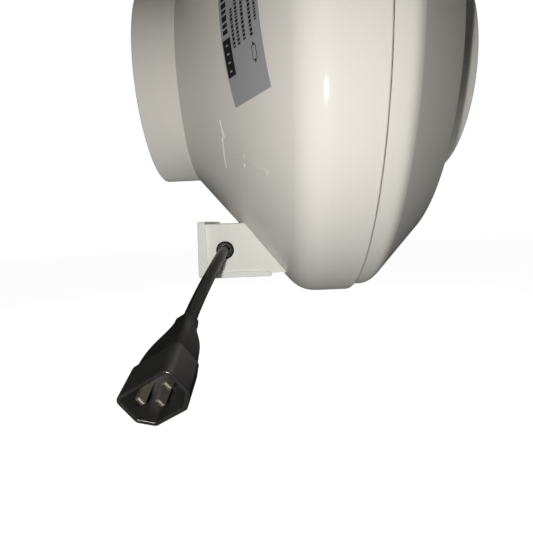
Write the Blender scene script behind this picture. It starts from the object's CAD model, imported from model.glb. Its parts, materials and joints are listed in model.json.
import json
import math
import random

import bmesh
import bpy
from mathutils import Matrix, Vector


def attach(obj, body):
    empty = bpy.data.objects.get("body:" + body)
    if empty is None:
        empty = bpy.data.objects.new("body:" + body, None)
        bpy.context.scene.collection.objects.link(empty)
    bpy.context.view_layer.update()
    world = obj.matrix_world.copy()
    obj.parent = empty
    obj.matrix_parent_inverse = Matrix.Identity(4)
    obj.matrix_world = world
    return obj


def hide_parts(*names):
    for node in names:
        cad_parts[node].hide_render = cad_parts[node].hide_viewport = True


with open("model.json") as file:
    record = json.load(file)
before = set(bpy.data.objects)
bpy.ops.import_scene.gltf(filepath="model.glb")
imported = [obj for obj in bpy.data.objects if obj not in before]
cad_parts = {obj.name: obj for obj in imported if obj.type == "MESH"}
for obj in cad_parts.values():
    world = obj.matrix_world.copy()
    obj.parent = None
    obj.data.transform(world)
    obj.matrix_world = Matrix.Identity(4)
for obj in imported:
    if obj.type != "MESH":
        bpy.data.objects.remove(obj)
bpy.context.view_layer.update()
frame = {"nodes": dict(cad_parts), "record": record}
nodes = frame["nodes"]
scene = bpy.context.scene
MM = 0.001
WHITE = (1, 1, 1, 1)


def mm(*values):
    """A point or vector given in millimetres."""
    return Vector(values) * MM


# ---- camera ------------------------------------------------------------------------------
# It stands on the -Y side, a little below the fan's axis, near the terminal box.
eye = mm(89.9, -373.4, -113.3)
eye_right = Vector((0.99892, 0.01421, -0.04425))
eye_up = Vector((0.04256, 0.10279, 0.99381))
eye_back = eye_right.cross(eye_up)
LENS = 28.93


def placed(x_axis, y_axis, z_axis, origin):
    """A matrix from three axes and an origin."""
    matrix = Matrix((x_axis, y_axis, z_axis)).transposed().to_4x4()
    matrix.translation = origin
    return matrix


def make_camera():
    lens = bpy.data.cameras.new("camera")
    lens.lens = LENS
    lens.clip_start = 0.01
    camera = bpy.data.objects.new("camera", lens)
    camera.matrix_world = placed(eye_right, eye_up, eye_back, eye)
    scene.collection.objects.link(camera)
    scene.camera = camera


make_camera()

# ---- materials ---------------------------------------------------------------------------
WAVE_SCALE = 0.314  # what a wave texture's scale is at one ridge per metre
MIX_UNDER, MIX_OVER, MIX_RESULT = 6, 7, 2  # the colour sockets of a mix node


class Look:
    """A procedural material: layered colour, uneven gloss and fine relief, all in object space."""

    def __init__(self, name, colour, roughness, **sockets):
        self.material = bpy.data.materials.new(name)
        self.material.use_nodes = True
        self.tree = self.material.node_tree
        self.shader = self.tree.nodes["Principled BSDF"]
        self.place = self.node("ShaderNodeTexCoord").outputs["Object"]
        self.colour = self.node("ShaderNodeRGB").outputs[0]
        self.colour.default_value = (*colour, 1)
        self.shader.inputs["Roughness"].default_value = roughness
        for socket, value in sockets.items():
            self.shader.inputs[socket.replace("_", " ")].default_value = value

    def node(self, kind, inputs=(), **settings):
        made = self.tree.nodes.new(kind)
        for key, value in settings.items():
            setattr(made, key, value)
        for key, value in dict(inputs).items():
            if isinstance(value, bpy.types.NodeSocket):
                self.tree.links.new(value, made.inputs[key])
            else:
                made.inputs[key].default_value = value
        return made

    def stretched(self, stretch):
        return self.node("ShaderNodeMapping", {"Vector": self.place, "Scale": stretch}).outputs[0]

    def noise(self, scale, detail=2.0, stretch=(1, 1, 1), distortion=0.0):
        """Noise from 0 to 1; scale is in features per metre."""
        inputs = {"Vector": self.stretched(stretch), "Scale": scale, "Detail": detail,
                  "Distortion": distortion}
        return self.node("ShaderNodeTexNoise", inputs).outputs["Fac"]

    def cells(self, scale):
        """Distance to scattered points, for pits and specks; scale is in points per metre."""
        inputs = {"Vector": self.place, "Scale": scale}
        return self.node("ShaderNodeTexVoronoi", inputs).outputs["Distance"]

    def bands(self, scale, axis="X", distortion=0.0):
        """Regular ridges across an axis; scale is in ridges per metre."""
        inputs = {"Vector": self.place, "Scale": scale * WAVE_SCALE, "Distortion": distortion,
                  "Detail": 1.0, "Detail Scale": 2.0}
        return self.node("ShaderNodeTexWave", inputs, bands_direction=axis).outputs["Fac"]

    def remap(self, value, low, high, to_low=0.0, to_high=1.0):
        inputs = {"Value": value, "From Min": low, "From Max": high, "To Min": to_low,
                  "To Max": to_high}
        return self.node("ShaderNodeMapRange", inputs, clamp=True).outputs[0]

    def combine(self, operation, a, b):
        return self.node("ShaderNodeMath", {0: a, 1: b}, operation=operation).outputs[0]

    def upward(self):
        """1 on faces that look up, for dust."""
        normal = self.node("ShaderNodeNewGeometry").outputs["Normal"]
        return self.node("ShaderNodeSeparateXYZ", {0: normal}).outputs["Z"]

    def tint(self, mask, colour):
        """Lays a colour over what is there, by a mask from 0 to 1."""
        mixer = self.node("ShaderNodeMix", {"Factor": mask}, data_type="RGBA")
        self.tree.links.new(self.colour, mixer.inputs[MIX_UNDER])
        mixer.inputs[MIX_OVER].default_value = (*colour, 1)
        self.colour = mixer.outputs[MIX_RESULT]

    def gloss(self, value, low, high):
        """Roughness that follows a value from 0 to 1."""
        self.tree.links.new(self.remap(value, 0, 1, low, high), self.shader.inputs["Roughness"])

    def relief(self, *layers):
        """Bump from (height, depth in metres, strength) layers."""
        normal = None
        for height, depth, strength in layers:
            inputs = {"Height": height, "Distance": depth, "Strength": strength}
            if normal is not None:
                inputs["Normal"] = normal
            normal = self.node("ShaderNodeBump", inputs).outputs[0]
        self.tree.links.new(normal, self.shader.inputs["Normal"])

    def done(self):
        self.tree.links.new(self.colour, self.shader.inputs["Base Color"])
        return self.material


def moulded_white(name, colour, roughness, dust, sheen=0.42):
    """Clean white moulding: faint clouds, a trace of yellowing, rare specks and dust on top."""
    look = Look(name, colour, roughness, Specular_IOR_Level=sheen)
    clouds = look.noise(7, 2)
    look.tint(look.remap(clouds, 0.3, 0.8, 0, 0.22), [c * 0.95 for c in colour])
    yellowing = look.noise(3.5, 2, stretch=(1, 1.6, 1))
    red, green, blue = colour
    look.tint(look.remap(yellowing, 0.35, 0.85, 0, 0.25), (red, green * 0.98, blue * 0.93))
    specks = look.remap(look.cells(150), 0.022, 0.034, 1, 0)
    rare = look.remap(look.noise(31, 1), 0.66, 0.72)
    look.tint(look.combine("MULTIPLY", specks, rare), (0.5, 0.46, 0.4))
    settled = look.combine("MULTIPLY", look.remap(look.upward(), 0.55, 1.0), look.noise(26, 4))
    look.tint(look.combine("MULTIPLY", settled, dust), (0.5, 0.47, 0.42))
    look.gloss(look.noise(16, 3), roughness - 0.025, roughness + 0.035)
    look.relief((look.noise(38, 1), 0.0004, 0.06), (look.noise(1300, 2), 0.00002, 0.15))
    return look.done()


def soft_black(name, colour, roughness, grain=1800, sheen=0.3):
    """Black rubber, PVC or satin plastic: fine grain, greyed patches and lint."""
    look = Look(name, colour, roughness, Specular_IOR_Level=sheen)
    patches = look.noise(70, 4, distortion=0.6)
    look.tint(look.remap(patches, 0.45, 0.8, 0, 0.6), (0.024, 0.024, 0.023))
    lint = look.combine("MULTIPLY", look.remap(look.cells(420), 0.05, 0.08, 1, 0),
                        look.remap(look.noise(90, 1), 0.62, 0.68))
    look.tint(look.combine("MULTIPLY", lint, 0.3), (0.16, 0.155, 0.14))
    look.gloss(patches, roughness - 0.05, roughness + 0.1)
    look.relief((look.noise(260, 3), 0.00012, 0.12), (look.noise(grain, 2), 0.00004, 0.3))
    return look.done()


def cord_sheath():
    """Satin PVC with faint lengthwise drawing lines and rubbed spots."""
    look = Look("cord_sheath", (0.0045, 0.0045, 0.0042), 0.34, Specular_IOR_Level=0.3)
    rubs = look.noise(90, 5, distortion=0.8)
    look.tint(look.remap(rubs, 0.52, 0.8, 0, 0.5), (0.016, 0.016, 0.015))
    look.gloss(rubs, 0.28, 0.46)
    lines = look.noise(1100, 2, stretch=(1, 0.05, 0.4))
    look.relief((look.noise(180, 3), 0.00015, 0.15), (lines, 0.00004, 0.3))
    return look.done()


def wire_sleeve(name, colour, stripe=None):
    """Glossy wire insulation, with a second colour along it if it has one."""
    look = Look(name, colour, 0.34)
    if stripe:
        look.tint(look.remap(look.bands(190, "Z", 0.6), 0.6, 0.66), stripe)
    wear = look.noise(240, 4)
    look.tint(look.remap(wear, 0.55, 0.85, 0, 0.3), [c * 0.55 for c in colour])
    look.gloss(wear, 0.26, 0.46)
    look.relief((look.noise(900, 2), 0.00006, 0.25))
    return look.done()


def metal(name, colour, roughness, brush=(1, 1, 1), stain=0.6, grain=600):
    """Bare or plated metal: brushed or cast grain, dull stains and bright rubbed spots."""
    look = Look(name, colour, roughness, Metallic=1.0)
    stains = look.noise(85, 5, distortion=0.4)
    look.tint(look.remap(stains, 0.48, 0.8, 0, stain), [c * 0.55 for c in colour])
    grains = look.noise(grain, 3, stretch=brush)
    wear = look.combine("ADD", look.combine("MULTIPLY", stains, 0.6),
                        look.combine("MULTIPLY", grains, 0.4))
    look.gloss(wear, roughness - 0.1, roughness + 0.2)
    look.relief((grains, 0.00005, 0.35))
    return look.done()


def plated_pin():
    """Nickel over brass: smooth, faint length marks from the sockets, yellow where it wears."""
    look = Look("plated_pin", (0.78, 0.74, 0.62), 0.42, Metallic=1.0)
    wear = look.noise(260, 3, stretch=(1, 1, 0.3))
    look.tint(look.remap(wear, 0.55, 0.8, 0, 0.45), (0.66, 0.52, 0.26))
    look.gloss(wear, 0.36, 0.48)
    look.relief((look.noise(900, 2), 0.00002, 0.2))
    return look.done()


def black_sheet():
    """Black painted steel: orange peel, dust on the upper faces, paint rubbed at random spots."""
    look = Look("black_sheet", (0.018, 0.018, 0.019), 0.34, Coat_Weight=0.15, Coat_Roughness=0.25)
    wear = look.noise(120, 6, distortion=0.5)
    look.tint(look.remap(wear, 0.66, 0.74, 0, 0.6), (0.12, 0.12, 0.12))
    dust = look.combine("MULTIPLY", look.noise(40, 5), look.remap(look.upward(), 0.1, 1))
    look.tint(look.combine("MULTIPLY", dust, 0.3), (0.2, 0.19, 0.17))
    look.gloss(wear, 0.24, 0.52)
    look.relief((look.noise(420, 2), 0.00012, 0.35))
    return look.done()


def air_plastic(name, colour, roughness=0.45):
    """Grey-black moulding in the air stream: fine texture, swirls and a film of dust."""
    look = Look(name, colour, roughness)
    flow = look.noise(30, 5, stretch=(0.3, 1, 1), distortion=1.2)
    look.tint(look.remap(flow, 0.42, 0.8, 0, 0.5), [c * 1.9 + 0.01 for c in colour])
    film = look.noise(14, 4)
    look.tint(look.remap(film, 0.5, 0.85, 0, 0.4), (0.17, 0.16, 0.145))
    look.gloss(film, roughness - 0.08, roughness + 0.18)
    look.relief((look.noise(1500, 2), 0.00006, 0.45))
    return look.done()


def sheet_stack():
    """Laminated core: the edges of half-millimetre sheets, darkened by varnish."""
    look = Look("sheet_stack", (0.30, 0.30, 0.31), 0.42, Metallic=1.0)
    sheets = look.bands(2000, "X")
    look.tint(look.remap(sheets, 0.0, 0.35, 0.8, 0), (0.05, 0.05, 0.052))
    varnish = look.noise(75, 4)
    look.tint(look.remap(varnish, 0.45, 0.8, 0, 0.6), (0.16, 0.13, 0.09))
    look.gloss(varnish, 0.32, 0.6)
    look.relief((sheets, 0.0001, 0.7))
    return look.done()


def wound_copper():
    """Enamelled copper: rows of wire with darker gaps."""
    look = Look("wound_copper", (0.55, 0.21, 0.07), 0.3, Metallic=0.9)
    strands = look.bands(1600, "DIAGONAL", 1.2)
    look.tint(look.remap(strands, 0.0, 0.4, 0.85, 0), (0.10, 0.03, 0.01))
    lacquer = look.noise(130, 4)
    look.tint(look.remap(lacquer, 0.5, 0.85, 0, 0.5), (0.33, 0.12, 0.03))
    look.gloss(lacquer, 0.22, 0.45)
    look.relief((strands, 0.0003, 0.8))
    return look.done()


def label_film():
    """Silver-grey printed film: a fine grain, faint streaks, dulled patches."""
    look = Look("label_film", (0.345, 0.350, 0.365), 0.4, Specular_IOR_Level=0.45)
    streaks = look.noise(240, 5, stretch=(1, 0.2, 0.1))
    look.tint(look.remap(streaks, 0.4, 0.75, 0, 0.35), (0.30, 0.305, 0.32))
    smudges = look.noise(30, 4, distortion=0.7)
    look.tint(look.remap(smudges, 0.5, 0.85, 0, 0.4), (0.41, 0.415, 0.425))
    look.gloss(smudges, 0.34, 0.5)
    look.relief((look.noise(150, 2), 0.0001, 0.08), (look.noise(2200, 2), 0.00002, 0.2))
    return look.done()


def label_ink():
    """Matte black print, thin in places."""
    look = Look("label_ink", (0.010, 0.010, 0.011), 0.55)
    thin = look.noise(600, 4)
    look.tint(look.remap(thin, 0.62, 0.8, 0, 0.6), (0.06, 0.06, 0.063))
    look.gloss(thin, 0.45, 0.7)
    look.relief((look.noise(2600, 2), 0.00002, 0.3))
    return look.done()


WARM_WHITE = (0.735, 0.716, 0.675)
COOL_WHITE = (0.965, 0.98, 0.93)
looks = {
    "casing": moulded_white("casing_white", WARM_WHITE, 0.19, 0.25, 0.075),
    "box": moulded_white("box_white", COOL_WHITE, 0.6, 0.25, 0.25),
    "black_rubber": soft_black("black_rubber", (0.008, 0.008, 0.008), 0.42),
    "cord": cord_sheath(),
    "plug": soft_black("plug_black", (0.013, 0.013, 0.0125), 0.3, grain=2400, sheen=0.6),
    "brass": plated_pin(),
    "collar": soft_black("collar_black", (0.03, 0.03, 0.029), 0.24, sheen=0.9),
    "label": label_film(),
    "zinc": metal("zinc_plate", (0.66, 0.66, 0.62), 0.3, grain=1200),
    "steel": metal("ground_steel", (0.56, 0.56, 0.57), 0.2, brush=(6, 1, 1), stain=0.35),
    "painted_steel": black_sheet(),
    "lamination": sheet_stack(),
    "aluminium": metal("cast_aluminium", (0.62, 0.63, 0.64), 0.42, grain=1600),
    "copper": wound_copper(),
    "impeller": air_plastic("impeller_black", (0.030, 0.030, 0.032), 0.4),
    "bracket": air_plastic("bracket_grey", (0.055, 0.056, 0.060)),
    "terminal": moulded_white("terminal_white", (0.70, 0.70, 0.64), 0.4, 0.1),
    "capacitor": moulded_white("capacitor_white", (0.66, 0.67, 0.68), 0.36, 0.1),
    "brown_wire": wire_sleeve("brown_sleeve", (0.12, 0.045, 0.015)),
    "blue_wire": wire_sleeve("blue_sleeve", (0.02, 0.09, 0.34)),
    "earth_wire": wire_sleeve("earth_sleeve", (0.13, 0.33, 0.03), (0.75, 0.62, 0.04)),
    "nylon": moulded_white("natural_nylon", (0.72, 0.70, 0.60), 0.45, 0.1),
}
own_looks = {"plug_grip": soft_black("plug_grip_black", (0.006, 0.006, 0.006), 0.45)}
for part in frame["record"]["subparts"]:
    node = part["node"]
    materials = nodes[node].data.materials
    materials.clear()
    materials.append(own_looks.get(node, looks[part["material_slot"]]))


def piece(name, mesh_builder, material, body, smooth=True):
    """Links a bmesh as a named piece that rides on a body."""
    mesh = bpy.data.meshes.new(name)
    mesh_builder.to_mesh(mesh)
    mesh_builder.free()
    made = bpy.data.objects.new(name, mesh)
    scene.collection.objects.link(made)
    for face in mesh.polygons:
        face.use_smooth = smooth
    mesh.materials.append(material)
    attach(made, body)
    return made


# ---- supply cord -------------------------------------------------------------------------
CORD_DIAMETER = 7.5 * MM
cord_route = [mm(52.6, -43.0, -133.0), mm(52.6, -53.0, -133.0), mm(51.9, -70.2, -135.6),
              mm(45.6, -132.1, -154.2), mm(44.4, -158.8, -162.6)]


def make_cord():
    """A smooth round tube between the route's two ends, drawn towards the points between."""
    curve = bpy.data.curves.new("supply_cord", "CURVE")
    curve.dimensions = "3D"
    curve.resolution_u = 32
    curve.bevel_depth = CORD_DIAMETER / 2
    curve.bevel_resolution = 10
    curve.use_fill_caps = True
    spline = curve.splines.new("NURBS")
    spline.points.add(len(cord_route) - 1)
    for point, place in zip(spline.points, cord_route):
        point.co = (*place, 1)
    spline.order_u = 3
    spline.use_endpoint_u = True
    cord = bpy.data.objects.new("supply_cord", curve)
    scene.collection.objects.link(cord)
    curve.materials.append(looks["cord"])
    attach(cord, "root")
    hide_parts("power_cord")
    return cord


supply_cord = make_cord()

# ---- plug --------------------------------------------------------------------------------
PLUG_ROLL = math.radians(31)  # of the plug's wide side from level
plug_axis = (cord_route[-1] - cord_route[-2]).normalized()
level = plug_axis.cross(Vector((0, 0, 1))).normalized()
plug_wide = Matrix.Rotation(PLUG_ROLL, 3, plug_axis) @ level
plug_narrow = plug_axis.cross(plug_wide)
plug_place = placed(plug_wide, plug_narrow, plug_axis, cord_route[-1])
COLLAR_PROFILE = [(3.78, -1.9), (3.9, -2.35), (4.15, -2.5), (4.4, -2.35), (4.5, -1.9),
                  (4.45, -1.3), (4.5, -1.0), (5.0, -0.85), (5.25, -0.4), (5.3, 0.2), (5.35, 0.9)]
COLLAR_SIDES = 48


def make_collar():
    """Rolled end of the plug's moulding, a close ring round the cord with its seat behind."""
    shape = bmesh.new()
    rings = []
    for r, height in COLLAR_PROFILE:
        ring = []
        for k in range(COLLAR_SIDES):
            turn = 2 * math.pi * k / COLLAR_SIDES
            place = mm(r * math.cos(turn), r * math.sin(turn), height)
            ring.append(shape.verts.new(plug_place @ place))
        rings.append(ring)
    for low, high in zip(rings, rings[1:]):
        for k in range(COLLAR_SIDES):
            shape.faces.new((low[k], low[k - 1], high[k - 1], high[k]))
    bmesh.ops.recalc_face_normals(shape, faces=shape.faces)
    return piece("plug_collar", shape, looks["collar"], "root")


plug_collar = make_collar()

# ---- rating label print, in millimetres --------------------------------------------------
CONE = math.radians(50.2)  # the outlet cone's half angle
SPIGOT_R, SPIGOT_LENGTH = 74.5, 29.3
LABEL_WIDTH, LABEL_HEIGHT = 34.6, 100.0
LABEL_R = 130.2  # from the fan's axis to the label's middle
LABEL_TURN = math.radians(-2.2)  # its place round the axis
LABEL_TILT = math.radians(2.5)
INK_RISE = 0.24  # above the cone, just clear of the film
MARK_RISE = 0.27
PATCH_STEP = 2.5
LINE_WIDTH = 0.45
DICE_SEED = 7
PRINT_BLOCK = (0.8, 15.7, 8.3, 35.9)
# Each row of print: x, width, start, end, longest block, gap.
PRINT_ROWS = [
    (2.2, 4.6, 38.5, 92.0, 4.0, 1.1),
    (10.2, 2.3, 28.5, 50.0, 2.0, 0.55),
    (14.5, 2.3, 28.5, 62.0, 2.0, 0.55),
    (19.6, 2.3, 29.0, 58.0, 2.0, 0.55),
    (25.8, 2.3, 28.5, 68.0, 2.0, 0.55),
    (30.4, 2.0, 34.5, 88.0, 1.8, 0.5),
]
SYMBOL = (25.1, 28.8, 16.4, 23.9)  # left, right, low, high
SYMBOL_TIPS = (26.4, 27.6)
TIP_LENGTH = 1.3
MARK_COUNT, MARK_SIDES = 4, 12
MARK_START, MARK_PITCH = (4.4, 18.6), 4.6
MARK_HALF_WIDTH, MARK_HALF_HEIGHT = 1.2, 0.6


def label_frame():
    """Matrix of the label's plane on the outlet cone: x uphill, y round it."""
    out = Vector((0, -math.cos(LABEL_TURN), -math.sin(LABEL_TURN)))
    normal = Vector((-math.sin(CONE), 0, 0)) + out * math.cos(CONE)
    uphill = Vector((math.cos(CONE), 0, 0)) + out * math.sin(CONE)
    along = SPIGOT_LENGTH + (LABEL_R - SPIGOT_R) / math.tan(CONE)
    origin = Vector((along, 0, 0)) + out * LABEL_R
    plane = placed(uphill, normal.cross(uphill), normal, origin)
    return plane @ Matrix.Rotation(LABEL_TILT, 4, "Z")


label_plane = label_frame()


def height_over_cone(point):
    """Distance from the outlet cone's surface."""
    r = math.hypot(point.y, point.z)
    return (r - SPIGOT_R) * math.cos(CONE) - (point.x - SPIGOT_LENGTH) * math.sin(CONE)


def on_label(x, y, rise=INK_RISE):
    """Point on the curved label at (x, y) from its lower left corner, in metres."""
    point = label_plane @ Vector((x - LABEL_WIDTH / 2, y - LABEL_HEIGHT / 2, 0))
    normal = label_plane.col[2].xyz
    for _ in range(4):  # it settles on the curved surface within a few rounds
        point += normal * (rise - height_over_cone(point))
    return point * MM


def ink_patch(shape, x0, y0, x1, y1):
    """A thin printed rectangle that follows the label's curve."""
    steps = max(1, math.ceil((y1 - y0) / PATCH_STEP))
    rows = []
    for k in range(steps + 1):
        y = y0 + (y1 - y0) * k / steps
        rows.append([shape.verts.new(on_label(x, y)) for x in (x0, x1)])
    for low, high in zip(rows, rows[1:]):
        shape.faces.new((low[0], low[1], high[1], high[0]))


def print_row(shape, dice, x, width, y0, y1, longest, gap):
    """A row of print as blocks of uneven length, up the label."""
    y = y0
    while y < y1:
        length = dice.uniform(0.45, 1.0) * longest
        ink_patch(shape, x, y, x + width, min(y + length, y1))
        y += length + gap


def make_print():
    """The black block, the rows of print and a plain symbol of a box with two tips."""
    shape = bmesh.new()
    dice = random.Random(DICE_SEED)
    ink_patch(shape, *PRINT_BLOCK)
    for row in PRINT_ROWS:
        print_row(shape, dice, *row)
    left, right, low, high = SYMBOL
    tip_left, tip_right = SYMBOL_TIPS
    for patch in ((tip_left, high, tip_right, high + TIP_LENGTH),
                  (tip_left, low - TIP_LENGTH, tip_right, low),
                  (left, low, left + LINE_WIDTH, high),
                  (right - LINE_WIDTH, low, right, high),
                  (left, low, right, low + LINE_WIDTH),
                  (left, high - LINE_WIDTH, right, high)):
        ink_patch(shape, *patch)
    piece("label_print", shape, label_ink(), "root", smooth=False)


def make_block_marks():
    """Pale rounded marks in a row in the label's black block."""
    shape = bmesh.new()
    for k in range(MARK_COUNT):
        ring = []
        for step in range(MARK_SIDES):
            turn = 2 * math.pi * step / MARK_SIDES
            x = MARK_START[0] + MARK_HALF_WIDTH * math.cos(turn)
            y = MARK_START[1] + MARK_PITCH * k + MARK_HALF_HEIGHT * math.sin(turn)
            ring.append(shape.verts.new(on_label(x, y, MARK_RISE)))
        shape.faces.new(ring)
    piece("label_block_marks", shape, looks["label"], "root", smooth=False)


make_print()
make_block_marks()

# ---- floor, backdrop and light -----------------------------------------------------------
FLOOR_Z, FLOOR_RADIUS, FLOOR_GLOW = -0.45, 6, 0.97
SKY_RADIUS, SKY_GLOW = 9, 1.0
STAGE_GREY = (0.1, 0.1, 0.1)
FLASH_POWER, FLASH_RADIUS = 2.36, 0.006
FLASH_COLOUR = (1.0, 0.985, 0.95)
FLASH_LEFT, FLASH_BELOW = 0.026, 0.015  # from the camera
flash_place = eye - eye_right * FLASH_LEFT - eye_up * FLASH_BELOW
SOFTBOX_AIM, SOFTBOX_SIZE = Vector((0.1, 0, 0)), 1.0
# Each softbox: name, place, power in watts.
SOFTBOXES = [
    ("under", (0.1, -0.1, -1.3), 4.0),
    ("top", (0.1, 0.2, 1.3), 1.0),
    ("rear_left", (-0.9, 1.3, 0.7), 16),
    ("rear_right", (1.1, 1.0, 0.6), 16),
    ("rear_low", (0.1, 1.4, -0.5), 8),
]
ROOM_COLOUR, ROOM_STRENGTH = (1, 0.98, 0.96, 1), 0.015


def stage_material(name, glow):
    """A pale surface that glows evenly, so it looks white without lighting the fan."""
    look = Look(name, STAGE_GREY, 0.9)
    look.tint(look.remap(look.noise(3, 3), 0.3, 0.8, 0, 0.2), [c * 0.97 for c in STAGE_GREY])
    look.shader.inputs["Emission Color"].default_value = WHITE
    look.shader.inputs["Emission Strength"].default_value = glow
    return look.done()


def make_stage():
    floor_mesh = bmesh.new()
    bmesh.ops.create_circle(floor_mesh, cap_ends=True, segments=96, radius=FLOOR_RADIUS)
    sky_mesh = bmesh.new()
    bmesh.ops.create_uvsphere(sky_mesh, u_segments=48, v_segments=24, radius=SKY_RADIUS)
    for name, shape, z, glow in (("floor", floor_mesh, FLOOR_Z, FLOOR_GLOW),
                                 ("backdrop", sky_mesh, 0, SKY_GLOW)):
        mesh = bpy.data.meshes.new(name)
        shape.to_mesh(mesh)
        shape.free()
        made = bpy.data.objects.new(name, mesh)
        made.location.z = z
        scene.collection.objects.link(made)
        mesh.materials.append(stage_material(name, glow))
        made.visible_diffuse = False
        made.visible_glossy = False
        made.visible_shadow = False


def make_flash():
    """A small bright lamp beside the camera."""
    lamp = bpy.data.lights.new("flash", "POINT")
    lamp.energy = FLASH_POWER
    lamp.shadow_soft_size = FLASH_RADIUS
    lamp.color = FLASH_COLOUR
    made = bpy.data.objects.new("flash", lamp)
    made.location = flash_place
    scene.collection.objects.link(made)


def make_softbox(name, place, power):
    """A square lamp that faces the fan and doesn't show in its gloss."""
    lamp = bpy.data.lights.new(name, "AREA")
    lamp.shape = "SQUARE"
    lamp.size = SOFTBOX_SIZE
    lamp.energy = power
    made = bpy.data.objects.new(name, lamp)
    made.location = place
    made.rotation_euler = (SOFTBOX_AIM - Vector(place)).to_track_quat("-Z", "Y").to_euler()
    made.visible_glossy = False
    scene.collection.objects.link(made)


def make_room_light():
    world = bpy.data.worlds.new("room")
    world.use_nodes = True
    background = world.node_tree.nodes["Background"]
    background.inputs["Color"].default_value = ROOM_COLOUR
    background.inputs["Strength"].default_value = ROOM_STRENGTH
    scene.world = world


make_stage()
make_flash()
for lamp_settings in SOFTBOXES:
    make_softbox(*lamp_settings)
make_room_light()
scene.view_settings.view_transform = "Standard"
